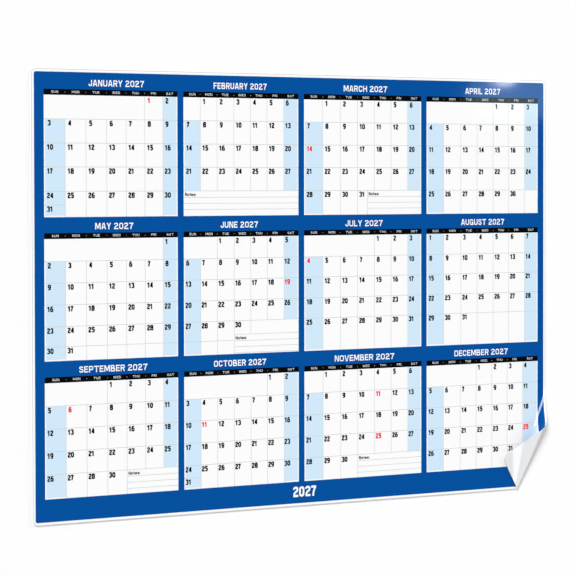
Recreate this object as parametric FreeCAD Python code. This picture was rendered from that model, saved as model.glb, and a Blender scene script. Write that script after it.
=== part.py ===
"""A laminated one-sheet wall calendar of twelve months, with its lower right corner turned up.

The sheet hangs flat against a wall in the XZ plane, with +X to the right, +Z up and its printed
side towards -Y. The origin is the middle of the flat sheet's back, on the wall.
Millimetres throughout. Places on the page are x to the right and y down from the blue ground's
upper left corner, as on a printer's layout.
"""
import FreeCAD, Part
import os
from math import atan2, cos, degrees, pi, sin, sqrt

from FreeCAD import Rotation, Vector

# The sheet: paper sealed between two clear films that reach past the print all round
SHEET_WIDTH = 914.4
SHEET_HEIGHT = 609.6
SHEET_THICKNESS = 0.5
SHEET_CORNER_RADIUS = 7.0
CLEAR_RIM = 4.0

# The print, laid on the sheet's front as thin fields of one colour each
INK_THICKNESS = 0.12
GROUND_CORNER_RADIUS = 3.0

# The page: a blue ground with columns and rows of white month windows. The windows share what the
# margins, gaps and title bands leave, and each column or row differs a little from an even share
LEFT_MARGIN = 15.4
RIGHT_MARGIN = 11.4
MONTH_GAP = 10.1
TITLE_BAND = 23.1
MONTH_TITLE_BAND = 21.4
FOOT_BAND = 30.7
COLUMN_DIFFERENCES = (6.1, -13.1, 2.9, 4.1)
ROW_DIFFERENCES = (2.6, 2.7, -5.3)

# Inside a month: a weekday bar, seven day columns with a narrower Saturday, and the week rows. The
# lines between the days lie at these parts of the width left of Saturday, one set for each column of
# months, and those between the weeks at these parts of the height below the bar, one for each row
BAR_HEIGHT = 7.7
SATURDAY_WIDTHS = (24.3, 25.8, 25.5, 26.1)
WIDE_SATURDAY_WIDTH = 29.7
DAY_LINE_PARTS = (
    (0.175, 0.348, 0.521, 0.685, 0.844), (0.165, 0.330, 0.497, 0.663, 0.829),
    (0.177, 0.345, 0.510, 0.674, 0.836), (0.171, 0.345, 0.510, 0.674, 0.835),
)
WEEK_LINE_PARTS = ((0.196, 0.393, 0.589, 0.789), (0.184, 0.362, 0.541, 0.718), (0.200, 0.396, 0.592, 0.790))
SIXTH_WEEK_PART = 0.884
SHARED_DAY_PART = 0.900
TINT_INSET = 2.0
RULE_WIDTH = 0.7

# Notes boxes at the end of some months, with writing lines
NOTE_HEAD_HEIGHT = 8.9
NOTE_LINE_PITCH = 8.3
NOTE_FOOT_ROOM = 1.0
LOW_NOTES_DROP = 19.0
CUT_DAY_WIDTH = 18.2

# The turned-up corner: the fold line crosses the foot and the right edge at these distances from
# the corner, and every crease of the roll points at an apex below the foot on the same line
FOLD_ON_FOOT = 58.8
FOLD_ON_SIDE = 137.0
APEX_BELOW_FOOT = 13.1
ROLL_RADIUS_AT_SIDE = 11.2
FLAP_BOW_RADIUS_AT_SIDE = 607.0
TIP_LIFT = 2.6

# What each month holds: the weekday of its first day, the months with six rows of weeks, those whose
# last Sunday is shared by two dates, those whose last Saturday is blank, where notes boxes start, and
# the month with a wider Saturday
WEEKDAYS = ("Sun", "Mon", "Tue", "Wed", "Thu", "Fri", "Sat")
FIRST_WEEKDAYS = {
    "Jan": "Fri", "Feb": "Mon", "Mar": "Mon", "Apr": "Thu",
    "May": "Sat", "Jun": "Tue", "Jul": "Thu", "Aug": "Sun",
    "Sep": "Wed", "Oct": "Fri", "Nov": "Mon", "Dec": "Wed",
}
MONTHS = tuple(FIRST_WEEKDAYS)
SIX_WEEK_MONTHS = ("May", "Jun")
SHARED_SUNDAY_MONTHS = ("Jan", "Oct")
BLANK_END_MONTHS = ("Apr", "Dec")
NOTE_WEEKDAYS = {"Feb": "Sun", "Mar": "Wed", "Jun": "Wed", "Sep": "Thu", "Nov": "Wed"}
CUT_DAY_MONTH = "Mar"
LOW_NOTES_MONTH = "Jun"
WIDE_SATURDAY_MONTH = "Dec"

COLUMNS = len(COLUMN_DIFFERENCES)
ROWS = len(ROW_DIFFERENCES)
GROUND_WIDTH = SHEET_WIDTH - 2 * CLEAR_RIM
GROUND_HEIGHT = SHEET_HEIGHT - 2 * CLEAR_RIM
EVEN_WIDTH = (GROUND_WIDTH - LEFT_MARGIN - RIGHT_MARGIN - MONTH_GAP * (COLUMNS - 1)) / COLUMNS
EVEN_HEIGHT = (GROUND_HEIGHT - TITLE_BAND - FOOT_BAND - MONTH_TITLE_BAND * (ROWS - 1)) / ROWS
MONTH_WIDTHS = [EVEN_WIDTH + difference for difference in COLUMN_DIFFERENCES]
MONTH_HEIGHTS = [EVEN_HEIGHT + difference for difference in ROW_DIFFERENCES]

FRONT = Vector(0, -1, 0)
CORNER = Vector(SHEET_WIDTH / 2, -SHEET_THICKNESS, -SHEET_HEIGHT / 2)
FOLD_ANGLE = atan2(FOLD_ON_SIDE, FOLD_ON_FOOT)
ALONG = Vector(cos(FOLD_ANGLE), 0, sin(FOLD_ANGLE))
ACROSS = Vector(sin(FOLD_ANGLE), 0, -cos(FOLD_ANGLE))
APEX = CORNER - Vector(FOLD_ON_FOOT, 0, 0) - ALONG * APEX_BELOW_FOOT
SIDE_REACH = APEX_BELOW_FOOT + sqrt(FOLD_ON_SIDE ** 2 + FOLD_ON_FOOT ** 2)
ROLL_TIGHTNESS = SIDE_REACH / ROLL_RADIUS_AT_SIDE
FLAP_BOW = -SIDE_REACH / FLAP_BOW_RADIUS_AT_SIDE
CURVE_STEPS = 12
SEAM_TOLERANCE = 1e-3


def fan_place(point):
    """A flat point's angle past the fold line, seen from the apex, and its distance from the apex."""
    away = Vector(point.x - APEX.x, 0, point.z - APEX.z)
    return atan2(away.dot(ACROSS), away.dot(ALONG)), away.Length


def turn(tightness, angle):
    """How the sheet turns over one angle of the fan, where it is a cone of this tightness."""
    return Rotation(Vector(tightness, 0, 1), degrees(angle * sqrt(1 + tightness ** 2)))


def sheet_turn(angle, roll_span):
    """How the sheet has turned at this angle of the fan: along the crease, across it and forward."""
    rolled = turn(ROLL_TIGHTNESS, min(angle, roll_span))
    return rolled.multiply(turn(FLAP_BOW, angle - roll_span)) if angle > roll_span else rolled


def in_space(local):
    """A direction given along the fold line, across it and forward, in the model's own axes."""
    return ALONG * local.x + ACROSS * local.y + FRONT * local.z


def roll_span_for_lift():
    """The roll's angle in the fan that brings the corner's tip down to its lift off the sheet."""
    inset = SHEET_CORNER_RADIUS * (1 - sqrt(0.5))
    tip_angle, tip_reach = fan_place(CORNER + Vector(-inset, 0, inset))
    half_turn = pi / sqrt(1 + ROLL_TIGHTNESS ** 2)
    low, high = half_turn * 0.8, half_turn * 1.3
    for _ in range(40):
        middle = (low + high) / 2
        lift = sheet_turn(tip_angle, middle).multVec(Vector(tip_reach, 0, 0)).z
        if lift > TIP_LIFT:
            low = middle
        else:
            high = middle
    return low


ROLL_SPAN = roll_span_for_lift()


def on_page(x, y):
    """The point of the sheet's front face at x and y on the page."""
    return Vector(x - GROUND_WIDTH / 2, -SHEET_THICKNESS, GROUND_HEIGHT / 2 - y)


def page_box(x0, y0, x1, y1):
    """A flat rectangular field of the page."""
    corners = [on_page(x0, y0), on_page(x1, y0), on_page(x1, y1), on_page(x0, y1)]
    return Part.Face(Part.makePolygon(corners + corners[:1]))


def rounded_box(x0, y0, x1, y1, radius):
    """A flat rectangle of the page with round corners."""
    edges = []
    corners = [(x0, y0, 1, 1), (x1, y0, -1, 1), (x1, y1, -1, -1), (x0, y1, 1, -1)]
    ends = []
    for number, (x, y, right, down) in enumerate(corners):
        beside = on_page(x + right * radius, y)
        below = on_page(x, y + down * radius)
        inset = radius * (1 - sqrt(0.5))
        middle = on_page(x + right * inset, y + down * inset)
        first, last = (below, beside) if number % 2 == 0 else (beside, below)
        edges.append(Part.Arc(first, middle, last).toShape())
        ends.append((first, last))
    for (_, last), (first, _) in zip(ends, ends[1:] + ends[:1]):
        edges.append(Part.LineSegment(last, first).toShape())
    return Part.Face(Part.Wire(Part.__sortEdges__(edges)))


def sector(start, end):
    """The flat wedge of the fan between two angles, far enough out to cover the corner."""
    reach = 2 * SIDE_REACH
    tips = [APEX + (ALONG * cos(angle) + ACROSS * sin(angle)) * reach for angle in (start, end)]
    return Part.Face(Part.makePolygon([APEX] + tips + [APEX]))


def cone_surface(wedge, offset):
    """The cone that a wedge becomes, this far in front of the face, and where a flat point lies on it.

    A wedge is its start and end angle in the fan and its tightness, negative for a bow to the back.
    """
    start, end, tightness = wedge
    rate = sqrt(1 + tightness ** 2)
    axis = in_space(sheet_turn(start, ROLL_SPAN).multVec(Vector(tightness, 0, 1)))
    tip = APEX + axis * offset
    forward = tightness > 0
    axis = axis * ((1 if forward else -1) / rate)
    edge_angle = end if forward else start
    crease = in_space(sheet_turn(edge_angle, ROLL_SPAN).multVec(Vector(1, 0, 0)))
    outward = crease - axis * crease.dot(axis)
    cone = Part.Cone()
    cone.Radius = 0
    cone.SemiAngle = atan2(1, abs(tightness))
    turned = Rotation(outward, axis.cross(outward), axis, "ZXY")
    cone.transform(FreeCAD.Placement(tip, turned).toMatrix())

    def lay(point):
        angle, reach = fan_place(point)
        return FreeCAD.Base.Vector2d(rate * abs(edge_angle - angle), reach - offset * tightness)

    return cone, lay


def bent_edge(edge, surface, lay):
    """A flat edge laid onto a bent surface."""
    span = edge.LastParameter - edge.FirstParameter
    steps = [edge.FirstParameter + span * step / CURVE_STEPS for step in range(CURVE_STEPS + 1)]
    curve = Part.Geom2d.BSplineCurve2d()
    curve.interpolate([lay(edge.valueAt(step)) for step in steps])
    return curve.toShape(surface)


def on_seam(edge, angles):
    """Whether a flat edge lies on one of the creases at which the wedges meet."""
    middle = edge.valueAt((edge.FirstParameter + edge.LastParameter) / 2)
    return any(abs(fan_place(middle)[0] - angle) < 1e-6 for angle in angles)


def flat_faces(field, back, front):
    """Faces of the flat part of a layer: its back, its front and its walls off the fold line."""
    faces = []
    low, high = FRONT * back, FRONT * front
    for face in field.Faces:
        faces += [face.translated(low), face.translated(high)]
        walls = [edge for edge in face.Edges if not on_seam(edge, [0])]
        faces += [edge.translated(low).extrude(high - low) for edge in walls]
    return faces


def bent_faces(field, wedge, back, front):
    """Faces of the bent part of a layer in one wedge, without walls where wedges meet."""
    faces = []
    surfaces = [cone_surface(wedge, offset) for offset in (back, front)]
    for face in field.common(sector(wedge[0], wedge[1])).Faces:
        edges = face.OuterWire.OrderedEdges
        for surface, lay in surfaces:
            faces.append(Part.Face(surface, Part.Wire([bent_edge(edge, surface, lay) for edge in edges])))
        for edge in edges:
            if not on_seam(edge, [0, ROLL_SPAN]):
                sides = [bent_edge(edge, surface, lay) for surface, lay in surfaces]
                faces.append(Part.makeRuledSurface(*sides, 1))
    return faces


def layer(field, back, front):
    """The solids of a flat field of the page, thickened and bent with the sheet at the corner."""
    turned_up = sector(0, pi / 2)
    if not field.common(turned_up).Faces:
        return field.translated(FRONT * back).extrude(FRONT * (front - back)).Solids
    faces = flat_faces(field.cut(turned_up), back, front)
    for wedge in (0, ROLL_SPAN, ROLL_TIGHTNESS), (ROLL_SPAN, pi / 2, FLAP_BOW):
        faces += bent_faces(field, wedge, back, front)
    sewn = Part.Compound(faces)
    sewn.sewShape(SEAM_TOLERANCE)
    solids = [Part.Solid(shell) for shell in sewn.Shells]
    for solid in solids:
        if solid.Volume < 0:
            solid.reverse()
    return solids


def month_place(month):
    """The column and the row of a month on the page."""
    return MONTHS.index(month) % COLUMNS, MONTHS.index(month) // COLUMNS


def month_window(month):
    """Left, top, right and bottom of a month's window on the page, the weekday bar included."""
    column, row = month_place(month)
    left = LEFT_MARGIN + sum(MONTH_WIDTHS[:column]) + MONTH_GAP * column
    top = TITLE_BAND + sum(MONTH_HEIGHTS[:row]) + MONTH_TITLE_BAND * row
    return left, top, left + MONTH_WIDTHS[column], top + MONTH_HEIGHTS[row]


def day_lines(month):
    """The x of each day column's left edge, from Sunday, and of the window's right edge."""
    left, _, right, _ = month_window(month)
    column = month_place(month)[0]
    wide = month == WIDE_SATURDAY_MONTH
    saturday = right - (WIDE_SATURDAY_WIDTH if wide else SATURDAY_WIDTHS[column])
    inner = [left + (saturday - left) * part for part in DAY_LINE_PARTS[column]]
    return [left, *inner, saturday, right]


def week_line(month, part):
    """The y at this part of a month's height below its bar."""
    _, top, _, bottom = month_window(month)
    return top + BAR_HEIGHT + part * (bottom - top - BAR_HEIGHT)


def week_lines(month):
    """The y of each week row's upper edge, and of the window's lower edge."""
    parts = [0, *WEEK_LINE_PARTS[month_place(month)[1]]]
    if month in SIX_WEEK_MONTHS:
        parts.append(SIXTH_WEEK_PART)
    return [week_line(month, part) for part in parts + [1]]


def fifth_week(month):
    """The y of the fifth week row's upper edge, where notes boxes and blank ends start."""
    return week_line(month, WEEK_LINE_PARTS[month_place(month)[1]][-1])


def notes_corner(month):
    """The upper left corner of a month's notes box, or the window's lower right one without a box."""
    _, _, right, bottom = month_window(month)
    if month not in NOTE_WEEKDAYS:
        return right, bottom
    x = day_lines(month)[WEEKDAYS.index(NOTE_WEEKDAYS[month])]
    y = fifth_week(month)
    if month == CUT_DAY_MONTH:
        x += CUT_DAY_WIDTH
    if month == LOW_NOTES_MONTH:
        y += LOW_NOTES_DROP
    return x, y


def note_lines(month):
    """The y of each writing line in a month's notes box, as many as fit above its foot."""
    _, y = notes_corner(month)
    _, _, _, bottom = month_window(month)
    lines = []
    y += NOTE_HEAD_HEIGHT
    while y < bottom - NOTE_FOOT_ROOM:
        lines.append(y)
        y += NOTE_LINE_PITCH
    return lines


def level_rules(month):
    """The centre lines of a month's level grey rules, as (left, right, y)."""
    left, _, right, _ = month_window(month)
    note_x, note_y = notes_corner(month)
    rules = [(left, right if y <= note_y else note_x, y) for y in week_lines(month)[1:-1]]
    if month in SHARED_SUNDAY_MONTHS:
        rules.append((left, day_lines(month)[1], week_line(month, SHARED_DAY_PART)))
    if month == LOW_NOTES_MONTH:
        rules.append((note_x, right, note_y))
    return rules + [(note_x, right, y) for y in note_lines(month)]


def upright_rules(month):
    """The centre lines of a month's upright grey rules between its level ones, as (x, top, foot)."""
    note_x, note_y = notes_corner(month)
    days, weeks = day_lines(month), week_lines(month)
    rules = []
    for row, (upper, lower) in enumerate(zip(weeks, weeks[1:])):
        first = max(WEEKDAYS.index(FIRST_WEEKDAYS[month]), 1) if row == 0 else 1
        rules += [(x, upper, lower) for x in days[first:7] if lower <= note_y or x < note_x]
    if note_x > days[0] and note_lines(month):
        levels = [note_y, *note_lines(month), weeks[-1]]
        rules += [(note_x, upper, lower) for upper, lower in zip(levels, levels[1:])]
    if month == LOW_NOTES_MONTH:
        start = WEEKDAYS.index(NOTE_WEEKDAYS[month])
        rules += [(x, fifth_week(month), note_y) for x in days[start:start + 2]]
    return rules


def month_rules(month):
    """A month's grey rules as flat fields that meet edge to edge."""
    _, _, _, bottom = month_window(month)
    top = week_lines(month)[0]
    half = RULE_WIDTH / 2
    fields = [page_box(x0, y - half, x1, y + half) for x0, x1, y in level_rules(month)]
    for x, upper, lower in upright_rules(month):
        head = upper if upper == top else upper + half
        foot = lower if lower == bottom else lower - half
        fields.append(page_box(x - half, head, x + half, foot))
    return fields


def weekend_tints(month):
    """A month's pale blue Sundays and Saturdays, parted by the rules."""
    days, weeks = day_lines(month), week_lines(month)
    first_sunday = weeks[0] if FIRST_WEEKDAYS[month] == "Sun" else weeks[1]
    foot = weeks[-1] - TINT_INSET
    sunday_foot = fifth_week(month) if NOTE_WEEKDAYS.get(month) == "Sun" else foot
    short = month in NOTE_WEEKDAYS or month in BLANK_END_MONTHS
    saturday_foot = fifth_week(month) if short else foot
    columns = [
        page_box(days[0] + TINT_INSET, first_sunday, days[1], sunday_foot),
        page_box(days[6], weeks[0], days[7] - TINT_INSET, saturday_foot),
    ]
    return Part.Compound(columns).cut(Part.Compound(month_rules(month))).Faces


def weekday_bar(month):
    """The black bar across the top of a month's window."""
    left, top, right, _ = month_window(month)
    return [page_box(left, top, right, top + BAR_HEIGHT)]


def blue_ground():
    """The blue field of the whole page, with a window cut out for each month."""
    ground = rounded_box(0, 0, GROUND_WIDTH, GROUND_HEIGHT, GROUND_CORNER_RADIUS)
    return [ground.cut(Part.Compound([page_box(*month_window(month)) for month in MONTHS]))]


def in_each_month(fields_of):
    """The fields that a month has, gathered over the year."""
    return [field for month in MONTHS for field in fields_of(month)]


def write(name, fields, back, front):
    """Writes the layer of these fields as one file of solids."""
    solids = []
    for field in fields:
        solids += layer(field, back, front)
    shape = solids[0] if len(solids) == 1 else Part.Compound(solids)
    shape.exportStep(f"parts/{name}.step")
    print(name, len(solids), "solids,", round(shape.Volume, 1), "mm3, valid", shape.isValid())


os.makedirs("parts", exist_ok=True)
sheet_outline = rounded_box(
    -CLEAR_RIM, -CLEAR_RIM, GROUND_WIDTH + CLEAR_RIM, GROUND_HEIGHT + CLEAR_RIM, SHEET_CORNER_RADIUS
)
write("laminated_sheet", [sheet_outline], -SHEET_THICKNESS, 0)
write("blue_ground_print", blue_ground(), 0, INK_THICKNESS)
write("weekday_bar_print", in_each_month(weekday_bar), 0, INK_THICKNESS)
write("weekend_tint_print", in_each_month(weekend_tints), 0, INK_THICKNESS)
write("grid_rule_print", in_each_month(month_rules), 0, INK_THICKNESS)
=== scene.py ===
from math import atan2, cos, pi, radians, sin, sqrt

import bmesh
import bpy
from mathutils import Matrix, Quaternion, Vector


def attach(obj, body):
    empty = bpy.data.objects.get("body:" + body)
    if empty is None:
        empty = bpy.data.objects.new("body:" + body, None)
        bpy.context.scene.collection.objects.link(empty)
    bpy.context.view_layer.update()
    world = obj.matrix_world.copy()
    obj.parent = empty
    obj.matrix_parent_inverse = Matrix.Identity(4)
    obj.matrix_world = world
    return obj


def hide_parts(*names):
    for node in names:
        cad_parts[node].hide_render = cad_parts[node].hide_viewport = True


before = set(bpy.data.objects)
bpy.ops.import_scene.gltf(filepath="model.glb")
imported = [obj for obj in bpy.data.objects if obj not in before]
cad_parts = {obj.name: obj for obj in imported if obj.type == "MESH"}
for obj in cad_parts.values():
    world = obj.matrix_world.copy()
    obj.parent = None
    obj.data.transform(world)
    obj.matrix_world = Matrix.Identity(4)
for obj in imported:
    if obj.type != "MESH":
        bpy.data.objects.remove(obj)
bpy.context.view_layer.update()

# Camera: a long lens far to the left of the sheet and just above its middle, so that the left edge
# looks taller than the right one
MM = 0.001
CAMERA_AZIMUTH = radians(-37.48)
CAMERA_ELEVATION = radians(1.81)
CAMERA_ROLL = radians(-0.102)
CAMERA_TARGET = Vector((-28.92, -0.6, 4.17)) * MM
CAMERA_DISTANCE = 4579.3 * MM
CAMERA_LENS = 203.2
CAMERA_SENSOR_WIDTH = 36
camera_data = bpy.data.cameras.new("camera")
camera_data.lens = CAMERA_LENS
camera_data.sensor_width = CAMERA_SENSOR_WIDTH
camera = bpy.data.objects.new("camera", camera_data)
bpy.context.scene.collection.objects.link(camera)
bpy.context.scene.camera = camera
away = Vector((
    sin(CAMERA_AZIMUTH) * cos(CAMERA_ELEVATION),
    -cos(CAMERA_AZIMUTH) * cos(CAMERA_ELEVATION),
    sin(CAMERA_ELEVATION),
))
camera.location = CAMERA_TARGET + away * CAMERA_DISTANCE
aim = (-away).to_track_quat("-Z", "Y")
camera.rotation_mode = "QUATERNION"
camera.rotation_quaternion = aim @ Quaternion((0, 0, 1), CAMERA_ROLL)


# The laminated sheet: white paper sealed between two clear gloss films that reach past the print
# all round. The films are heat sealed, and the corners are cut round. The lower right corner has
# been turned up: it rolls over on a cone and lies back as a flap, with its white back to the front.
# Lengths are in millimetres here and below
SHEET_WIDTH = 914.4
SHEET_HEIGHT = 609.6
SHEET_THICKNESS = 0.5
SHEET_CORNER_RADIUS = 7.0
CLEAR_RIM = 4.0
# The grey ring round the front's edge is painted shade, and this wide
PAINTED_EDGE_SHADE_WIDTH = 0.8
GROUND_WIDTH = SHEET_WIDTH - 2 * CLEAR_RIM
GROUND_HEIGHT = SHEET_HEIGHT - 2 * CLEAR_RIM

# The turned-up corner is a fan of creases from an apex just below the foot. Its fold runs from the
# foot to the right side. The page lifts gently a little before the fold, rolls over tightly, and ends
# in a slightly bowed flap. Each radius is taken where the fold meets the side. The tip's lift is the
# height of the sheet's corner over the page that it comes down on
FOLD_ON_FOOT = 58.8
FOLD_ON_SIDE = 137.0
APEX_BELOW_FOOT = 13.1
LIFT_RADIUS_AT_SIDE = 52.0
ROLL_RADIUS_AT_SIDE = 11.2
FLAP_BOW_RADIUS_AT_SIDE = 607.0
TIP_LIFT = 2.6
LIFT_START = radians(3.8)
LIFT_SPAN = radians(4.9)
FLAP_END = pi / 3
LIFT_CREASES = 10
ROLL_CREASES = 56
FLAP_CREASES = 12

FRONT = Vector((0, -1, 0))
fold_angle = atan2(FOLD_ON_SIDE, FOLD_ON_FOOT)
fold_line = Vector((cos(fold_angle), 0, sin(fold_angle)))
corner = Vector((SHEET_WIDTH / 2, 0, -SHEET_HEIGHT / 2))
apex = corner - Vector((FOLD_ON_FOOT, 0, 0)) - fold_line * APEX_BELOW_FOOT
along = Vector((cos(fold_angle + LIFT_START), 0, sin(fold_angle + LIFT_START)))
across = Vector((along.z, 0, -along.x))
side_reach = APEX_BELOW_FOOT + sqrt(FOLD_ON_SIDE ** 2 + FOLD_ON_FOOT ** 2)
lift_tightness = side_reach / LIFT_RADIUS_AT_SIDE
roll_tightness = side_reach / ROLL_RADIUS_AT_SIDE
flap_bow = -side_reach / FLAP_BOW_RADIUS_AT_SIDE


def fan_place(point):
    """Angle past the start of the lift and distance from the apex of a flat point."""
    offset = point - apex
    flat = Vector((offset.x, 0, offset.z))
    return atan2(flat.dot(across), flat.dot(along)), flat.length


def turn(tightness, angle):
    """The sheet's turn over an angle of the fan, about the axis of the cone that it forms there."""
    return Quaternion(Vector((tightness, 0, 1)).normalized(), angle * sqrt(1 + tightness ** 2))


def sheet_turn(angle, roll_span):
    """The sheet's whole turn at an angle of the fan: a gentle lift, the tight roll and the flap."""
    whole = Quaternion()
    for tightness, span in ((lift_tightness, LIFT_SPAN), (roll_tightness, roll_span), (flap_bow, pi)):
        if angle > 0:
            whole = whole @ turn(tightness, min(angle, span))
        angle -= span
    return whole


ROLL_SEARCH = (0.8, 1.3)
ROLL_SEARCH_STEPS = 40


def find_roll_span():
    """The roll's angle in the fan that brings the corner's tip down to its lift off the sheet.

    It is searched for between two shares of the angle that turns the sheet half round.
    """
    inset = SHEET_CORNER_RADIUS * (1 - sqrt(0.5))
    tip_angle, tip_reach = fan_place(corner + Vector((-inset, 0, inset)))
    half_turn = pi / sqrt(1 + roll_tightness ** 2)
    low, high = (half_turn * share for share in ROLL_SEARCH)
    for _ in range(ROLL_SEARCH_STEPS):
        middle = (low + high) / 2
        lift = (sheet_turn(tip_angle, middle) @ Vector((tip_reach, 0, 0))).z
        low, high = (middle, high) if lift > TIP_LIFT else (low, middle)
    return low


roll_span = find_roll_span()


def bent(point):
    """Where a point of the flat sheet comes to lie once the corner is turned up."""
    angle, reach = fan_place(point)
    if angle <= 0 or angle > pi / 2:
        return point
    face_height = -point.y - SHEET_THICKNESS
    local = sheet_turn(angle, roll_span) @ Vector((reach, 0, face_height))
    return apex + along * local.x + across * local.y + FRONT * (local.z + SHEET_THICKNESS)


def on_page(x, y):
    """The place on the sheet's front face of x to the right and y down from the blue's corner."""
    return Vector((x - GROUND_WIDTH / 2, -SHEET_THICKNESS, GROUND_HEIGHT / 2 - y))


def add_field(bm, x0, y0, x1, y1):
    """A flat rectangular field of the page, facing the front. Returns its corners."""
    middle = (on_page(x0, y0) + on_page(x1, y1)) / 2
    size = Matrix.Diagonal((x1 - x0, y1 - y0, 1, 1))
    place = Matrix.Translation(middle) @ Matrix.Rotation(pi / 2, 4, "X") @ size
    return bmesh.ops.create_grid(bm, x_segments=1, y_segments=1, size=0.5, matrix=place)["verts"]


CORNER_SEGMENTS = 10


def round_corners(bm, corners, radius):
    """Rounds the corners of a flat field."""
    bmesh.ops.bevel(
        bm, geom=corners, offset=radius, offset_type="OFFSET", segments=CORNER_SEGMENTS, profile=0.5,
        affect="VERTICES", material=-1, clamp_overlap=False,
    )


# The first crease lies just before the lift, so that the smooth shading of the bend ends there. The
# cuts leave every face alone that lies further than the margin outside the fan
GUARD_ANGLE = 0.008
FAN_MARGIN = 0.05
CUT_TOLERANCE = 1e-5


def cut_creases(bm):
    """Cuts the fields along the creases of the turned-up corner."""
    lift = [LIFT_SPAN * step / LIFT_CREASES for step in range(LIFT_CREASES)]
    roll = [LIFT_SPAN + roll_span * step / ROLL_CREASES for step in range(ROLL_CREASES + 1)]
    rest = FLAP_END - roll[-1]
    flap = [roll[-1] + rest * step / FLAP_CREASES for step in range(1, FLAP_CREASES)]
    for angle in [-GUARD_ANGLE] + lift + roll + flap:
        normal = across * cos(angle) - along * sin(angle)
        touched = [
            face for face in bm.faces
            if any(-FAN_MARGIN < fan_place(vert.co)[0] < pi / 2 for vert in face.verts)
        ]
        parts = {part for face in touched for part in (face, *face.edges, *face.verts)}
        bmesh.ops.bisect_plane(
            bm, geom=list(parts), dist=CUT_TOLERANCE, plane_co=apex, plane_no=normal
        )


# The sheet's back takes its second material, and its cut edge the third
BACK_MATERIAL = 1
EDGE_MATERIAL = 2
SHARP_ANGLE = radians(40)


def make_layer(name, bm, back, front, creased=True, two_sided=False):
    """Gives flat fields their thickness, bends them with the sheet and makes the piece.

    The back and front are heights over the sheet's front face. A layer is creased where it may reach
    into the turned-up corner, and two-sided where its back and edge are other materials.
    """
    if creased:
        cut_creases(bm)
    for vert in bm.verts:
        vert.co.y -= back
    faces = bm.faces[:]
    raised = bmesh.ops.extrude_face_region(bm, geom=faces, use_keep_orig=True)["geom"]
    bmesh.ops.translate(
        bm, verts=[part for part in raised if isinstance(part, bmesh.types.BMVert)],
        vec=FRONT * (front - back),
    )
    bmesh.ops.recalc_face_normals(bm, faces=bm.faces)
    if two_sided:
        for face in bm.faces:
            if abs(face.normal.y) < 0.5:
                face.material_index = EDGE_MATERIAL
            elif face.normal.y > 0:
                face.material_index = BACK_MATERIAL
    for vert in bm.verts:
        vert.co = bent(vert.co) * MM
    mesh = bpy.data.meshes.new(name)
    bm.to_mesh(mesh)
    bm.free()
    mesh.shade_smooth()
    mesh.set_sharp_from_angle(angle=SHARP_ANGLE)
    piece = bpy.data.objects.new(name, mesh)
    bpy.context.scene.collection.objects.link(piece)
    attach(piece, "root")
    return piece


def linear(colour):
    """A colour written as sRGB hex, as linear values for a shader."""
    values = [int(colour[i:i + 2], 16) / 255 for i in (1, 3, 5)]
    return [v / 12.92 if v <= 0.04045 else ((v + 0.055) / 1.055) ** 2.4 for v in values] + [1]


def add_node(tree, kind, settings=(), links=(), **properties):
    """A shader node with its properties, its input values and the sockets that feed it."""
    node = tree.nodes.new(kind)
    for name, value in properties.items():
        setattr(node, name, value)
    for socket, value in dict(settings).items():
        node.inputs[socket].default_value = value
    for socket, source in dict(links).items():
        tree.links.new(source, node.inputs[socket])
    return node


# Clear polyester film heat sealed over matt paper and ink. The print's real mottle is finer than a
# millimetre, and its grain is drawn as coarse as it needs to show
FILM_IOR = 1.5
FILM_ROUGHNESS = 0.05
FILM_WAVE = 110.0
FILM_WAVE_HEIGHT = 0.15
INK_ROUGHNESS = 0.42
MOTTLE_GRAIN = 3.0


def under_film(name, colour, mottle):
    """Print or paper under a clear gloss film.

    The eye gets a flat colour, mottled by a few hundredths as offset print is, and over it the soft
    reflection of a film that lies in very slight waves. The film alone mirrors, because it is bonded
    to the ink.
    """
    material = bpy.data.materials.new(name)
    material.use_nodes = True
    tree = material.node_tree
    tree.nodes.clear()
    where = add_node(tree, "ShaderNodeTexCoord").outputs["Object"]
    speckle = add_node(
        tree, "ShaderNodeTexNoise", {"Scale": 1 / (MOTTLE_GRAIN * MM), "Detail": 1.0}, {"Vector": where}
    )
    # A mix of colours has them on its sockets 6 and 7, and gives their blend on socket 2
    ink = add_node(
        tree, "ShaderNodeMix", {6: linear(colour), 7: linear(mottle)}, {0: speckle.outputs["Fac"]},
        data_type="RGBA",
    )
    waves = add_node(
        tree, "ShaderNodeTexNoise", {"Scale": 1 / (FILM_WAVE * MM), "Detail": 2.0}, {"Vector": where}
    )
    bump = add_node(
        tree, "ShaderNodeBump", {"Strength": 1.0, "Distance": FILM_WAVE_HEIGHT * MM},
        {"Height": waves.outputs["Fac"]},
    )
    surface = add_node(
        tree, "ShaderNodeBsdfPrincipled",
        {
            "Roughness": INK_ROUGHNESS, "IOR": FILM_IOR, "Specular IOR Level": 0.0,
            "Coat Weight": 1.0, "Coat Roughness": FILM_ROUGHNESS, "Coat IOR": FILM_IOR,
        },
        {"Base Color": ink.outputs[2], "Coat Normal": bump.outputs["Normal"]},
    )
    add_node(tree, "ShaderNodeOutputMaterial", (), {"Surface": surface.outputs["BSDF"]})
    return material


sheet_mesh = bmesh.new()
sheet_corners = add_field(
    sheet_mesh, -CLEAR_RIM, -CLEAR_RIM, GROUND_WIDTH + CLEAR_RIM, GROUND_HEIGHT + CLEAR_RIM
)
round_corners(sheet_mesh, sheet_corners, SHEET_CORNER_RADIUS)

# A thin grey ring along the front's edge is painted shade: it stands for the shadow line at the sheet's
# edge
painted_edge_shade_ring = bmesh.ops.inset_region(
    sheet_mesh, faces=sheet_mesh.faces[:], thickness=PAINTED_EDGE_SHADE_WIDTH,
    use_even_offset=True, use_boundary=True,
)
for face in painted_edge_shade_ring["faces"]:
    face.material_index = EDGE_MATERIAL
sheet = make_layer("laminated_paper_sheet", sheet_mesh, -SHEET_THICKNESS, 0, two_sided=True)
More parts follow.
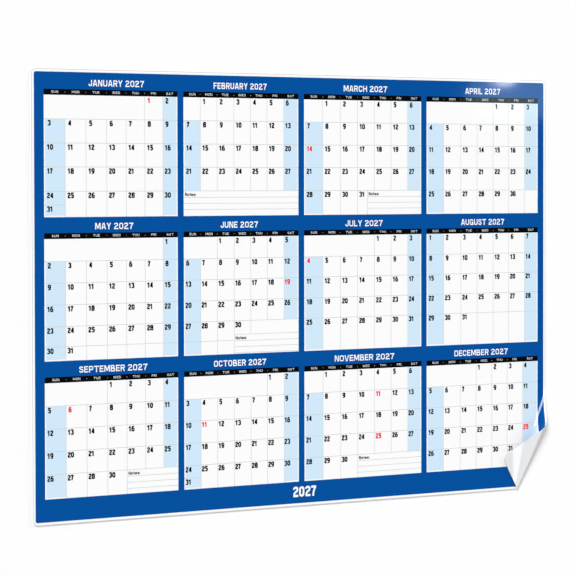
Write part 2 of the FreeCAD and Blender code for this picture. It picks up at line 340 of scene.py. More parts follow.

# The paper is coated white on the front. Its back is greyer, partly as plain unprinted paper and partly
# as painted shade for the turned-up flap that shows it. The cut edge is greyer still, and the same grey
# paints the shade line round the front's edge
sheet.data.materials.append(under_film("white_paper_under_gloss_film", "#FCFCFC", "#F9F9FA"))
sheet.data.materials.append(under_film("unprinted_back_with_painted_shade_under_gloss_film", "#E6E7E9", "#E2E3E6"))
sheet.data.materials.append(under_film("cut_edge_and_painted_edge_shade", "#C6CACD", "#CDD1D3"))
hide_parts("laminated_sheet")


# The blue ground: a flood of blue ink printed over the whole page, with a white window left for each
# month. The windows stand in four columns and three rows, and each column and row differs a little
# from an even share of the page. All ink is drawn thicker than it is, so that it lies clear of the
# paper
INK_THICKNESS = 0.12
GROUND_CORNER_RADIUS = 3.0
COLUMNS = 4
ROWS = 3
LEFT_MARGIN = 15.4
RIGHT_MARGIN = 11.4
MONTH_GAP = 10.1
TITLE_BAND = 23.1
MONTH_TITLE_BAND = 21.4
FOOT_BAND = 30.7
COLUMN_DIFFERENCES = (6.1, -13.1, 2.9, 4.1)
ROW_DIFFERENCES = (2.6, 2.7, -5.3)
even_width = (GROUND_WIDTH - LEFT_MARGIN - RIGHT_MARGIN - MONTH_GAP * (COLUMNS - 1)) / COLUMNS
even_height = (GROUND_HEIGHT - TITLE_BAND - FOOT_BAND - MONTH_TITLE_BAND * (ROWS - 1)) / ROWS
month_widths = [even_width + difference for difference in COLUMN_DIFFERENCES]
month_heights = [even_height + difference for difference in ROW_DIFFERENCES]
MONTHS = (
    "JANUARY", "FEBRUARY", "MARCH", "APRIL", "MAY", "JUNE",
    "JULY", "AUGUST", "SEPTEMBER", "OCTOBER", "NOVEMBER", "DECEMBER",
)


def month_window(month):
    """Left, top, right and bottom of a month's window on the page, the weekday bar included."""
    row, column = divmod(month, COLUMNS)
    left = LEFT_MARGIN + sum(month_widths[:column]) + MONTH_GAP * column
    top = TITLE_BAND + sum(month_heights[:row]) + MONTH_TITLE_BAND * row
    return left, top, left + month_widths[column], top + month_heights[row]


def cut_across(bm, spot, normal):
    """Cuts the fields along the whole line of the page through this spot."""
    everything = bm.verts[:] + bm.edges[:] + bm.faces[:]
    bmesh.ops.bisect_plane(bm, geom=everything, plane_co=spot, plane_no=normal)


def in_window(point):
    """Whether a point of the page lies in one of the month windows."""
    x, y = point.x + GROUND_WIDTH / 2, GROUND_HEIGHT / 2 - point.z
    windows = [month_window(month) for month in range(len(MONTHS))]
    return any(left < x < right and top < y < bottom for left, top, right, bottom in windows)


ground_mesh = bmesh.new()
ground_corners = add_field(ground_mesh, 0, 0, GROUND_WIDTH, GROUND_HEIGHT)
round_corners(ground_mesh, ground_corners, GROUND_CORNER_RADIUS)
for column in range(COLUMNS):
    left, _, right, _ = month_window(column)
    cut_across(ground_mesh, on_page(left, 0), (1, 0, 0))
    cut_across(ground_mesh, on_page(right, 0), (1, 0, 0))
for row in range(ROWS):
    _, top, _, bottom = month_window(row * COLUMNS)
    cut_across(ground_mesh, on_page(0, top), (0, 0, 1))
    cut_across(ground_mesh, on_page(0, bottom), (0, 0, 1))
inside = [face for face in ground_mesh.faces if in_window(face.calc_center_median())]
bmesh.ops.delete(ground_mesh, geom=inside, context="FACES")
ground = make_layer("blue_ground_ink", ground_mesh, 0, INK_THICKNESS)
ground.data.materials.append(under_film("blue_ink_under_gloss_film", "#024F9A", "#0551A0"))
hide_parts("blue_ground_print")


# The weekday bars: a strip of black ink printed across the top of each month window, which carries
# the names of the weekdays
BAR_HEIGHT = 7.7
bar_mesh = bmesh.new()
for month in range(len(MONTHS)):
    left, top, right, _ = month_window(month)
    add_field(bar_mesh, left, top, right, top + BAR_HEIGHT)
bars = make_layer("weekday_bar_ink", bar_mesh, 0, INK_THICKNESS, creased=False)
bars.data.materials.append(under_film("black_ink_under_gloss_film", "#050608", "#090A0C"))
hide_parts("weekday_bar_print")


# The grid rules: hairlines of grey ink printed between the days and weeks, and the writing lines of
# the notes boxes that fill the last row of some months. The weekdays before Saturday end at parts of
# the width that they share, given for each column of months. The weeks after the first begin at parts
# of the height below the bar, given for each row of months
SUNDAY = 0
SATURDAY = 6
SATURDAY_WIDTHS = (24.3, 25.8, 25.5, 26.1)
WIDE_SATURDAYS = {"DECEMBER": 29.7}
DAY_LINE_PARTS = (
    (0.175, 0.348, 0.521, 0.685, 0.844), (0.165, 0.330, 0.497, 0.663, 0.829),
    (0.177, 0.345, 0.510, 0.674, 0.836), (0.171, 0.345, 0.510, 0.674, 0.835),
)
WEEK_LINE_PARTS = (
    (0.196, 0.393, 0.589, 0.789), (0.184, 0.362, 0.541, 0.718), (0.200, 0.396, 0.592, 0.790),
)
SIXTH_WEEK_PART = 0.884
SHARED_DAY_PART = 0.900
RULE_WIDTH = 0.7
HALF_RULE = RULE_WIDTH / 2

# The weekday of each month's first date from January on, the months with a sixth week, and those
# whose last Sunday cell is shared by two dates
FIRST_WEEKDAYS = (5, 1, 1, 4, 6, 2, 4, 0, 3, 5, 1, 3)
SIX_WEEK_MONTHS = ("MAY", "JUNE")
SHARED_SUNDAY_MONTHS = ("JANUARY", "OCTOBER")

# A notes box begins under a weekday of the fifth week. One leaves a part of its first day blank, and
# one begins low in the week
NOTE_WEEKDAYS = {"FEBRUARY": 0, "MARCH": 3, "JUNE": 3, "SEPTEMBER": 4, "NOVEMBER": 3}
NOTE_INDENTS = {"MARCH": 18.2}
NOTE_DROPS = {"JUNE": 19.0}
NOTE_HEAD_HEIGHT = 8.9
NOTE_LINE_PITCH = 8.3
NOTE_FOOT_ROOM = 1.0


def day_lines(month):
    """The x of each day column's left edge, from Sunday, and of the window's right edge."""
    left, _, right, _ = month_window(month)
    column = month % COLUMNS
    saturday = right - WIDE_SATURDAYS.get(MONTHS[month], SATURDAY_WIDTHS[column])
    inner = [left + (saturday - left) * part for part in DAY_LINE_PARTS[column]]
    return [left, *inner, saturday, right]


def week_line(month, part):
    """The y at this part of a month's height below its bar."""
    _, top, _, bottom = month_window(month)
    return top + BAR_HEIGHT + part * (bottom - top - BAR_HEIGHT)


def week_lines(month):
    """The y of each week row's upper edge, and of the window's lower edge."""
    parts = [0, *WEEK_LINE_PARTS[month // COLUMNS]]
    if MONTHS[month] in SIX_WEEK_MONTHS:
        parts.append(SIXTH_WEEK_PART)
    return [week_line(month, part) for part in parts + [1]]


def fifth_week(month):
    """The y of the fifth week row's upper edge."""
    return week_line(month, WEEK_LINE_PARTS[month // COLUMNS][-1])


def notes_corner(month):
    """The upper left corner of a month's notes box, or the window's lower right one without a box."""
    _, _, right, bottom = month_window(month)
    name = MONTHS[month]
    if name not in NOTE_WEEKDAYS:
        return right, bottom
    x = day_lines(month)[NOTE_WEEKDAYS[name]] + NOTE_INDENTS.get(name, 0)
    return x, fifth_week(month) + NOTE_DROPS.get(name, 0)


def note_lines(month):
    """The y of each writing line in a month's notes box."""
    y = notes_corner(month)[1] + NOTE_HEAD_HEIGHT
    lines = []
    while y < month_window(month)[3] - NOTE_FOOT_ROOM:
        lines.append(y)
        y += NOTE_LINE_PITCH
    return lines


def level_rules(month):
    """The centre lines of a month's level rules, as (left, right, y)."""
    left, _, right, _ = month_window(month)
    note_x, note_y = notes_corner(month)
    rules = [(left, right if y <= note_y else note_x, y) for y in week_lines(month)[1:-1]]
    if MONTHS[month] in SHARED_SUNDAY_MONTHS:
        rules.append((left, day_lines(month)[1], week_line(month, SHARED_DAY_PART)))
    if MONTHS[month] in NOTE_DROPS:
        rules.append((note_x, right, note_y))
    return rules + [(note_x, right, y) for y in note_lines(month)]


def upright_rules(month):
    """The centre lines of a month's upright rules between its level ones, as (x, top, foot)."""
    note_x, note_y = notes_corner(month)
    days, weeks = day_lines(month), week_lines(month)
    rules = []
    for row, (upper, lower) in enumerate(zip(weeks, weeks[1:])):
        first = max(FIRST_WEEKDAYS[month], 1) if row == 0 else 1
        rules += [(x, upper, lower) for x in days[first:-1] if lower <= note_y or x < note_x]
    if note_x > days[0] and note_lines(month):
        levels = [note_y, *note_lines(month), weeks[-1]]
        rules += [(note_x, upper, lower) for upper, lower in zip(levels, levels[1:])]
    if MONTHS[month] in NOTE_DROPS:
        low_day = NOTE_WEEKDAYS[MONTHS[month]]
        rules += [(x, fifth_week(month), note_y) for x in days[low_day:low_day + 2]]
    return rules


rule_mesh = bmesh.new()
for month in range(len(MONTHS)):
    head_line, foot_line = week_lines(month)[0], week_lines(month)[-1]
    for x0, x1, y in level_rules(month):
        add_field(rule_mesh, x0, y - HALF_RULE, x1, y + HALF_RULE)
    for x, upper, lower in upright_rules(month):
        head = upper if upper == head_line else upper + HALF_RULE
        foot = lower if lower == foot_line else lower - HALF_RULE
        add_field(rule_mesh, x - HALF_RULE, head, x + HALF_RULE, foot)
rules = make_layer("grid_rule_ink", rule_mesh, 0, INK_THICKNESS)
rules.data.materials.append(under_film("grey_ink_under_gloss_film", "#C8CDCF", "#D1D5D6"))
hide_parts("grid_rule_print")


# The weekend tints: a pale blue screen printed behind the Saturdays and Sundays, which stops a little
# short of the window's sides and lets the rules show. Some months leave their last Saturday blank
TINT_INSET = 2.0
BLANK_END_MONTHS = ("APRIL", "DECEMBER")


def add_tint(bm, month, x0, x1, top, foot):
    """Adds a tinted column of a month, parted by the level rules that cross it."""
    crossing = [
        y for left, right, y in level_rules(month) if left < x1 - HALF_RULE and right > x0 + HALF_RULE
    ]
    edges = sorted({y for y in crossing if top <= y <= foot})
    heads = [top if top not in edges else None] + [y + HALF_RULE for y in edges]
    feet = [y - HALF_RULE for y in edges] + [foot if foot not in edges else None]
    for head, end in zip(heads, feet):
        if head is not None and end is not None and end > head:
            add_field(bm, x0, head, x1, end)


tint_mesh = bmesh.new()
for month, name in enumerate(MONTHS):
    days, weeks = day_lines(month), week_lines(month)
    foot = weeks[-1] - TINT_INSET
    first_sunday = weeks[0] if FIRST_WEEKDAYS[month] == SUNDAY else weeks[1]
    sunday_foot = fifth_week(month) if NOTE_WEEKDAYS.get(name) == SUNDAY else foot
    saturday_foot = fifth_week(month) if name in NOTE_WEEKDAYS or name in BLANK_END_MONTHS else foot
    add_tint(tint_mesh, month, days[0] + TINT_INSET, days[1] - HALF_RULE, first_sunday, sunday_foot)
    add_tint(
        tint_mesh, month, days[SATURDAY] + HALF_RULE, days[-1] - TINT_INSET, weeks[0], saturday_foot
    )
tints = make_layer("weekend_tint_ink", tint_mesh, 0, INK_THICKNESS)
tints.data.materials.append(under_film("pale_blue_ink_under_gloss_film", "#D2E9F9", "#CEE6F8"))
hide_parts("weekend_tint_print")


# The lettering: white month headings on the blue, small white weekdays on the black bars, black and
# red dates in the upper left of their cells, and a plain year at the foot. It is printed ink in one
# generic bold condensed face, drawn here by a broad pen on capitals ten units tall
LETTER_INK = 0.03
LETTER_TOP = INK_THICKNESS + LETTER_INK
LETTER_UNITS = 10
WORD_SPACE = 3.2
ROOM_AFTER_ONE = 1.2

# Each stroke of a letter is its kind and its points: s is straight runs, r a round line that begins
# and ends on its outer points, and o a closed round line. Round lines turn inside their points
STROKES = {
    "0": ("o 1,1 1,5 1,9 5.4,9 5.4,5 5.4,1",),
    "1": ("s 4,0 4,10", "s 0.8,7.8 4,7.8"),
    "2": ("r 1,7.2 1,9.1 5.3,9.1 5.3,5.7 1.3,4 1.3,1", "s 0.3,1 6.3,1"),
    "3": ("r 1,7.6 1,9.2 5.2,9.2 5.2,5.3 2.4,5.3", "r 2.4,5.2 5.4,5.2 5.4,0.9 1,0.9 1,2.3"),
    "4": ("s 4.6,0 4.6,10", "s 3.9,9.4 0.9,3", "s 0.2,2.9 6.3,2.9"),
    "5": ("s 6.2,9.2 1.5,9.2 1.3,5", "r 1.2,4.5 3,5.6 5.4,5.6 5.4,0.9 1.1,0.9 0.8,1.8"),
    "6": ("o 1,0.9 1,3.2 1,5.6 5.5,5.6 5.5,3.2 5.5,0.9", "r 1,3.4 1,9.1 4.9,9.1 5.2,8.4"),
    "7": ("s 0.3,9 6.2,9", "r 5.3,8.6 3,5.4 2.6,0"),
    "8": (
        "o 1.1,5.3 1.1,7.2 1.1,9.1 5.3,9.1 5.3,7.2 5.3,5.3",
        "o 0.9,0.9 0.9,3.1 0.9,5.3 5.5,5.3 5.5,3.1 5.5,0.9",
    ),
    "9": ("o 0.9,4.4 0.9,6.8 0.9,9.1 5.4,9.1 5.4,6.8 5.4,4.4", "r 5.4,6.6 5.4,0.9 1.5,0.9 1.2,1.6"),
    "A": ("s 0.9,0 2.9,10", "s 5.9,0 3.9,10", "s 1.7,2.9 5.1,2.9"),
    "B": (
        "s 1,0 1,10", "r 1,9.1 3.6,9.1 5,9.1 5,5.4 2,5.4 1,5.4",
        "r 1,5 2,5 5.8,5 5.8,0.9 3.8,0.9 1,0.9",
    ),
    "C": ("r 5.5,6.5 5.5,9 1,9 1,5 1,1 5.5,1 5.5,3.5",),
    "D": ("s 1,0 1,10", "r 1,9 3,9 5.6,9 5.6,5 5.6,1 3,1 1,1"),
    "E": ("s 1,0 1,10", "s 1,9 5.5,9", "s 1,5.1 5.1,5.1", "s 1,1 5.6,1"),
    "F": ("s 1,0 1,10", "s 1,9 5.4,9", "s 1,5 5,5"),
    "G": ("r 5.5,6.7 5.5,9 1,9 1,5 1,1 5.5,1 5.5,4.4", "s 3.5,4.4 6.5,4.4", "s 5.7,0 5.7,5"),
    "H": ("s 1,0 1,10", "s 5.6,0 5.6,10", "s 1,5.1 5.6,5.1"),
    "I": ("s 1,0 1,10",),
    "J": ("r 4.6,10 4.6,4 4.6,1 1,1 1,3.8",),
    "L": ("s 1,0 1,10", "s 1,1 5.3,1"),
    "M": ("s 1,0 1,10", "s 7.2,0 7.2,10", "s 1.5,10 4.1,1.4", "s 6.7,10 4.1,1.4"),
    "N": ("s 1,0 1,10", "s 5.7,0 5.7,10", "s 1.4,10 5.3,0"),
    "O": ("o 1,1 1,5 1,9 5.7,9 5.7,5 5.7,1",),
    "P": ("s 1,0 1,10", "r 1,9 3,9 5.6,9 5.6,4.4 3,4.4 1,4.4"),
    "R": ("s 1,0 1,10", "r 1,9 3,9 5.5,9 5.5,4.8 3,4.8 1,4.8", "s 3.6,4.8 5.5,0"),
    "S": ("r 5.3,7 5.3,9 1.1,9 1.1,5.9 5.5,4.5 5.5,1 1,1 1,3.1",),
    "T": ("s 3.2,0 3.2,10", "s 0,9 6.4,9"),
    "U": ("r 1,10 1,5 1,1 5.6,1 5.6,5 5.6,10",),
    "V": ("s 0.9,10 2.9,0", "s 5.9,10 3.9,0"),
    "W": ("s 0.9,10 2.4,0", "s 4.5,10 3.1,0", "s 4.9,10 6.3,0", "s 8.5,10 7,0"),
    "Y": ("s 0.9,10 3.3,4.4", "s 5.7,10 3.3,4.4", "s 3.3,4.9 3.3,0"),
    "o": ("o 1,1 1,3.6 1,6.3 5,6.3 5,3.6 5,1",),
    "t": ("r 1.8,9.2 1.8,4 1.8,1 3.8,1", "s 0,6.4 3.8,6.4"),
    "e": ("s 1,3.6 5,3.6", "r 5,3.2 5,6.3 1,6.3 1,3.6 1,1 5,1 5,2.2"),
    "s": ("r 4.7,4.9 4.7,6.3 1,6.3 1,4.1 4.8,3.3 4.8,1 1,1 1,2.3",),
    ":": ("s 1,0 1,2", "s 1,4.6 1,6.6"),
}

# Round lines are quadratic, with three runs from one point to the next. Each stroke lies a step over
# the one before it, so that no two faces coincide where they cross
ROUND_ORDER = 3
ROUND_STEPS = 3
STROKE_STEP = 0.008
letter_shapes = {}


def letter_shape(letter, stretch, pen):
    """The flat mesh of a letter, its strokes drawn by a pen this wide after the stretch in width.

    A vertex's z is the number of the letter's strokes that come before its own.
    """
    if (letter, stretch, pen) in letter_shapes:
        return letter_shapes[letter, stretch, pen]
    nib = bpy.data.curves.new("nib", "CURVE")
    edge = nib.splines.new("POLY")
    edge.points.add(1)
    edge.points[0].co = (-pen / 2, 0, 0, 1)
    edge.points[1].co = (pen / 2, 0, 0, 1)
    nib_holder = bpy.data.objects.new("nib", nib)
    bpy.context.scene.collection.objects.link(nib_holder)
    whole = bmesh.new()
    for level, stroke in enumerate(STROKES[letter]):
        kind, *stops = stroke.split()
        line = bpy.data.curves.new("stroke", "CURVE")
        line.dimensions = "2D"
        line.fill_mode = "NONE"
        line.bevel_mode = "OBJECT"
        line.bevel_object = nib_holder
        spline = line.splines.new("POLY" if kind == "s" else "NURBS")
        spline.points.add(len(stops) - 1)
        for point, stop in zip(spline.points, stops):
            x, y = (float(value) for value in stop.split(","))
            point.co = (x * stretch, y, 0, 1)
        if kind != "s":
            spline.order_u = ROUND_ORDER
            spline.resolution_u = ROUND_STEPS
            spline.use_cyclic_u = kind == "o"
            spline.use_endpoint_u = kind == "r"
        holder = bpy.data.objects.new("stroke", line)
        bpy.context.scene.collection.objects.link(holder)
        bpy.context.view_layer.update()
        drawn = holder.evaluated_get(bpy.context.evaluated_depsgraph_get())
        ribbon = bpy.data.meshes.new_from_object(drawn)
        first = len(whole.verts)
        whole.from_mesh(ribbon)
        whole.verts.ensure_lookup_table()
        for vert in whole.verts[first:]:
            vert.co.z = level
        bpy.data.objects.remove(holder)
        bpy.data.curves.remove(line)
        bpy.data.meshes.remove(ribbon)
    bpy.data.objects.remove(nib_holder)
    bpy.data.curves.remove(nib)
    shape = bpy.data.meshes.new("letter")
    whole.to_mesh(shape)
    whole.free()
    letter_shapes[letter, stretch, pen] = shape
    return shape


def add_words(bm, words, x, base, height, stretch, pen, gap, middle=False):
    """Adds a line of letters that stands on base, with its left end or its middle at x.

    The height is in millimetres, and the pen and the gap between letters are in letter units.
    """
    unit = height / LETTER_UNITS
    letters = []
    length = 0
    for letter in words:
        if letter == " ":
            length += WORD_SPACE * stretch
            continue
        shape = letter_shape(letter, stretch, pen)
        left = min(vert.co.x for vert in shape.vertices)
        right = max(vert.co.x for vert in shape.vertices)
        letters.append((shape, length - left))
        length += right - left + (gap + ROOM_AFTER_ONE if letter == "1" else gap)
    start = x - (length - gap) * unit / 2 if middle else x
    for shape, shift in letters:
        first = len(bm.verts)
        bm.from_mesh(shape)
        bm.verts.ensure_lookup_table()
        for vert in bm.verts[first:]:
            spot = on_page(start + (shift + vert.co.x) * unit, base - vert.co.y * unit)
            vert.co = spot + FRONT * (vert.co.z * STROKE_STEP)


# The headings were set by eye: each has its own shift from the middle of its window and its own
# stretch in width, given from January on
TITLE_HEIGHT = 8.7
TITLE_RISE = 4.5
TITLE_PEN = 1.78
TITLE_GAP = 1.55
TITLE_SHIFTS = (8.2, -2.2, 4.0, 0, 3.9, -4.3, 1.1, -0.1, 1.8, -3.4, 2.1, -3.1)
TITLE_STRETCHES = (1.3, 1.19, 1.37, 1.28, 1.34, 1.3, 1.41, 1.295, 1.375, 1.29, 1.47, 1.395)
YEAR = "2027"
YEAR_HEIGHT = 14.6
YEAR_BASE = 592.6
YEAR_STRETCH = 1.0
YEAR_PEN = 2.1
YEAR_GAP = 1.0
heading_mesh = bmesh.new()
for month, name in enumerate(MONTHS):
    left, top, right, _ = month_window(month)
    add_words(
        heading_mesh, name + " " + YEAR, (left + right) / 2 + TITLE_SHIFTS[month], top - TITLE_RISE,
        TITLE_HEIGHT, TITLE_STRETCHES[month], TITLE_PEN, TITLE_GAP, middle=True,
    )
add_words(
    heading_mesh, YEAR, GROUND_WIDTH / 2, YEAR_BASE,
    YEAR_HEIGHT, YEAR_STRETCH, YEAR_PEN, YEAR_GAP, middle=True,
)
headings = make_layer(
    "month_heading_letters", heading_mesh, INK_THICKNESS, LETTER_TOP, creased=False
)
headings.data.materials.append(under_film("white_lettering_under_gloss_film", "#FCFCFC", "#F9F9FA"))

# Each weekday stands near the middle of its column, and a small dot parts it from the next. Thin
# strokes take in some of the black round them, so their white is a shade greyer
WEEKDAYS = ("SUN", "MON", "TUE", "WED", "THU", "FRI", "SAT")
WEEKDAY_HEIGHT = 3.2
WEEKDAY_RISE = 0.3
WEEKDAY_STRETCH = 1.75
WEEKDAY_PEN = 1.55
WEEKDAY_GAP = 2.7
WEEKDAY_SHIFTS = (0.6, 0.2, -0.4, -0.3, 0, -0.8, -0.6)
HALF_DOT = 0.3
weekday_mesh = bmesh.new()
for month in range(len(MONTHS)):
    days = day_lines(month)
    middle = month_window(month)[1] + BAR_HEIGHT / 2
    for number, word in enumerate(WEEKDAYS):
        centre = (days[number] + days[number + 1]) / 2 + WEEKDAY_SHIFTS[number]
        add_words(
            weekday_mesh, word, centre, middle + WEEKDAY_HEIGHT / 2 - WEEKDAY_RISE,
            WEEKDAY_HEIGHT, WEEKDAY_STRETCH, WEEKDAY_PEN, WEEKDAY_GAP, middle=True,
        )
    for x in days[1:SATURDAY]:
        add_field(weekday_mesh, x - HALF_DOT, middle - HALF_DOT, x + HALF_DOT, middle + HALF_DOT)
weekday_letters = make_layer(
    "weekday_letters", weekday_mesh, INK_THICKNESS, LETTER_TOP, creased=False
)
weekday_letters.data.materials.append(
    under_film("pale_lettering_under_gloss_film", "#E4E6E8", "#ECEDEF")
)

# A date's room to the left depends on its tens, on its month and on its weekday at the weekend
DATE_HEIGHT = 7.1
DATE_STRETCH = 0.99
DATE_PEN = 2.8
DATE_GAP = 0.45
DATE_DROP = 1.9
DATE_LEFTS = (4.0, 3.1, 2.4, 2.3)
DATE_SHIFTS = (1.0, 0.6, 1.0, 0.6, 0.3, -1.1, 0.3, 0.1, -0.4, -1.5, -0.6, -0.5)
WEEKEND_SHIFTS = {SUNDAY: 1.1, SATURDAY: -0.9}
NOTE_WORD = "Notes:"
NOTE_WORD_HEIGHT = 4.5
NOTE_WORD_STRETCH = 1.3
NOTE_WORD_PEN = 2.0
NOTE_WORD_GAP = 1.2
NOTE_WORD_LEFT = 2.2
NOTE_WORD_RISE = 1.9

# February is printed to 27. September skips one date, and the next one has its cell. Holidays are red
LAST_DATES = (31, 27, 31, 30, 31, 30, 31, 31, 30, 31, 30, 31)
SKIPPED_DATE = ("SEPTEMBER", 29)
HOLIDAYS = {
    ("JANUARY", 1), ("MARCH", 14), ("JUNE", 19), ("JULY", 4), ("SEPTEMBER", 6), ("OCTOBER", 11),
    ("NOVEMBER", 11), ("NOVEMBER", 25), ("DECEMBER", 25),
}


def date_corner(month, date):
    """Where a date's digits have their upper left corner on the page."""
    name = MONTHS[month]
    cell = FIRST_WEEKDAYS[month] + date - 1
    if name == SKIPPED_DATE[0] and date > SKIPPED_DATE[1]:
        cell -= 1
    row, day = divmod(cell, len(WEEKDAYS))
    weeks = week_lines(month)
    x = day_lines(month)[day] + DATE_LEFTS[date // 10]
    x += DATE_SHIFTS[month] + WEEKEND_SHIFTS.get(day, 0)
    shared = name in SHARED_SUNDAY_MONTHS and row == len(weeks) - 1
    y = week_line(month, SHARED_DAY_PART) if shared else weeks[row]
    return x, y + DATE_DROP


date_mesh = bmesh.new()
holiday_mesh = bmesh.new()
for month, name in enumerate(MONTHS):
    for date in range(1, LAST_DATES[month] + 1):
        if (name, date) == SKIPPED_DATE:
            continue
        x, y = date_corner(month, date)
        add_words(
            holiday_mesh if (name, date) in HOLIDAYS else date_mesh, str(date), x, y + DATE_HEIGHT,
            DATE_HEIGHT, DATE_STRETCH, DATE_PEN, DATE_GAP,
        )
    if name in NOTE_WEEKDAYS:
        note_x, note_y = notes_corner(month)
        add_words(
            date_mesh, NOTE_WORD, note_x + NOTE_WORD_LEFT, note_y + NOTE_HEAD_HEIGHT - NOTE_WORD_RISE,
            NOTE_WORD_HEIGHT, NOTE_WORD_STRETCH, NOTE_WORD_PEN, NOTE_WORD_GAP,
        )
dates = make_layer("date_numerals", date_mesh, 0, LETTER_TOP, creased=False)
dates.data.materials.append(under_film("dark_lettering_under_gloss_film", "#060607", "#0A0A0B"))

# The red holiday dates are a piece of their own, because the part's own solids have no red field
holidays = make_layer("holiday_numerals", holiday_mesh, 0, LETTER_TOP, creased=False)
holidays.data.materials.append(under_film("red_lettering_under_gloss_film", "#F5282E", "#FA333A"))


# The studio: a white wall close behind the sheet, a pale floor below it and soft lights. Wall and
# floor neither light nor shade the sheet, and are clear from behind, so that its back can be seen
WALL_GAP = 1.4
STAGE_SIZE = 6000.0
FLOOR_DROP = 750.0


def stage_plane(name, place):
    """A square plane of the stage, which takes shadows and light and gives none."""
    bm = bmesh.new()
    bmesh.ops.create_grid(bm, x_segments=1, y_segments=1, size=STAGE_SIZE * MM / 2, matrix=place)
    mesh = bpy.data.meshes.new(name)
    bm.to_mesh(mesh)
    bm.free()
    plane = bpy.data.objects.new(name, mesh)
    bpy.context.scene.collection.objects.link(plane)
    plane.visible_diffuse = False
    plane.visible_shadow = False
    return plane


def stage_paint(name, colour):
    """Matt wall paint: an even white with no gloss, and nothing at all when seen from behind."""
    material = bpy.data.materials.new(name)
    material.use_nodes = True
    tree = material.node_tree
    tree.nodes.clear()
    paint = add_node(tree, "ShaderNodeBsdfDiffuse", {"Color": linear(colour)})
    clear = add_node(tree, "ShaderNodeBsdfTransparent")
    behind = add_node(tree, "ShaderNodeNewGeometry").outputs["Backfacing"]
    seen = add_node(
        tree, "ShaderNodeMixShader", (), {0: behind, 1: paint.outputs[0], 2: clear.outputs[0]}
    )
    add_node(tree, "ShaderNodeOutputMaterial", (), {"Surface": seen.outputs[0]})
    return material


upright = Matrix.Rotation(pi / 2, 4, "X")
wall = stage_plane("wall", Matrix.Translation((0, WALL_GAP * MM, 0)) @ upright)
wall.data.materials.append(stage_paint("white_wall_paint", "#F8F8F8"))
floor = stage_plane("floor", Matrix.Translation((0, 0, -FLOOR_DROP * MM)))
floor.data.materials.append(stage_paint("pale_floor_paint", "#F8F8F8"))
floor.visible_glossy = False


def add_light(name, kind, place, target, energy):
    """A lamp at a place in metres, aimed at another."""
    data = bpy.data.lights.new(name, kind)
    data.energy = energy
    light = bpy.data.objects.new(name, data)
    bpy.context.scene.collection.objects.link(light)
    light.location = place
    light.rotation_mode = "QUATERNION"
    light.rotation_quaternion = (target - place).to_track_quat("-Z", "Y")
    return light


def add_soft_light(name, azimuth, elevation, spread, strength):
    """A far, broad light. Its angles are in degrees, and azimuth 0 is the sheet's front."""
    a, e = radians(azimuth), radians(elevation)
    place = Vector((sin(a) * cos(e), -cos(a) * cos(e), sin(e)))
    light = add_light(name, "SUN", place, Vector(), strength)
    light.data.angle = radians(spread)
    return light


# The film would mirror the two front lights as broad veils that the real one doesn't show. The third
# light comes from behind and shows the sheet's back to a viewer there
key = add_soft_light("key_light", azimuth=-45, elevation=30, spread=22, strength=3.03)
side = add_soft_light("side_light", azimuth=75, elevation=10, spread=50, strength=1.25)
add_soft_light("rear_light", azimuth=155, elevation=30, spread=60, strength=2.2)
for front_light in (key, side):
    front_light.visible_glossy = False


def mirrored(spot, normal):
    """The direction that a spot of the film with this normal mirrors to the camera."""
    view = (camera.location - spot * MM).normalized()
    return normal * (2 * view.dot(normal)) - view


MIRRORED_LAMP_DISTANCE = 3200.0


def add_mirrored_lamp(name, spot, width, height, energy):
    """A small lamp that the flat sheet mirrors at a spot. It adds gloss alone."""
    place = spot * MM + mirrored(spot, FRONT) * (MIRRORED_LAMP_DISTANCE * MM)
    light = add_light(name, "AREA", place, spot * MM, energy)
    light.data.shape = "ELLIPSE"
    light.data.size = width * MM
    light.data.size_y = height * MM
    light.visible_diffuse = False
    return light


def add_mirrored_sun(name, spot, normal, spread, strength):
    """A far lamp that the turned-up corner mirrors at a spot. It adds gloss alone."""
    light = add_light(name, "SUN", mirrored(spot, normal), Vector(), strength)
    light.data.angle = radians(spread)
    light.visible_diffuse = False
    return light


def bent_spot(angle, reach):
    """The place and the front's normal of the turned-up corner at a place of the fan."""
    flat = apex + along * (reach * cos(angle)) + across * (reach * sin(angle))
    facing = sheet_turn(angle, roll_span) @ Vector((0, 0, 1))
    normal = along * facing.x + across * facing.y + FRONT * facing.z
    return bent(flat + FRONT * SHEET_THICKNESS), normal


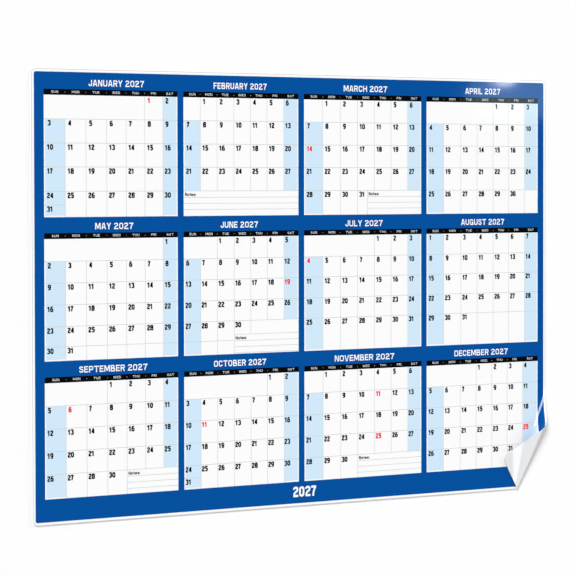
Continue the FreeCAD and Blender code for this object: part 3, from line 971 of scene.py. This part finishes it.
# What the film mirrors: a pale wash over the upper right corner and a glint on its edge, a bright
# streak on the blue just before the roll, and a soft band on the flap, whose back faces the camera
WASH_SPOT = on_page(859, 20)
WASH_COLOUR = (0.68, 0.97, 1.0)
GLINT_SPOT = on_page(828, 1)
STREAK_ANGLE = LIFT_START - radians(1.1)
STREAK_REACH = 130
FLAP_BAND_ANGLE = 0.655
FLAP_BAND_REACH = 70
corner_wash = add_mirrored_lamp("corner_light", WASH_SPOT, width=260, height=120, energy=0.137)
corner_wash.data.color = WASH_COLOUR
add_mirrored_lamp("corner_glint", GLINT_SPOT, width=55, height=14, energy=0.04)
streak_spot, streak_normal = bent_spot(STREAK_ANGLE, STREAK_REACH)
add_mirrored_sun("streak_light", streak_spot, streak_normal, spread=8.0, strength=0.19)
flap_spot, flap_normal = bent_spot(FLAP_BAND_ANGLE, FLAP_BAND_REACH)
add_mirrored_sun("flap_light", flap_spot, -flap_normal, spread=6.8, strength=0.05)

# The sky: even white light, almost none of it in the film's gloss, and a white backdrop for the
# camera. Being even, it needs no sampling of its own
WHITE = (1, 1, 1, 1)
SKY_STRENGTH = 0.36
GLOSS_STRENGTH = 0.02
BACKDROP_STRENGTH = 1.0
world = bpy.data.worlds.new("pale_sky")
world.use_nodes = True
world.cycles.sampling_method = "NONE"
bpy.context.scene.world = world
sky_tree = world.node_tree
sky_tree.nodes.clear()
path = add_node(sky_tree, "ShaderNodeLightPath")
sky = add_node(sky_tree, "ShaderNodeBackground", {"Color": WHITE, "Strength": SKY_STRENGTH})
gloss = add_node(sky_tree, "ShaderNodeBackground", {"Color": WHITE, "Strength": GLOSS_STRENGTH})
backdrop = add_node(sky_tree, "ShaderNodeBackground", {"Color": WHITE, "Strength": BACKDROP_STRENGTH})
unseen = add_node(
    sky_tree, "ShaderNodeMixShader", (),
    {0: path.outputs["Is Glossy Ray"], 1: sky.outputs[0], 2: gloss.outputs[0]},
)
whole_sky = add_node(
    sky_tree, "ShaderNodeMixShader", (),
    {0: path.outputs["Is Camera Ray"], 1: unseen.outputs[0], 2: backdrop.outputs[0]},
)
add_node(sky_tree, "ShaderNodeOutputWorld", (), {"Surface": whole_sky.outputs[0]})

bpy.context.scene.view_settings.view_transform = "Standard"
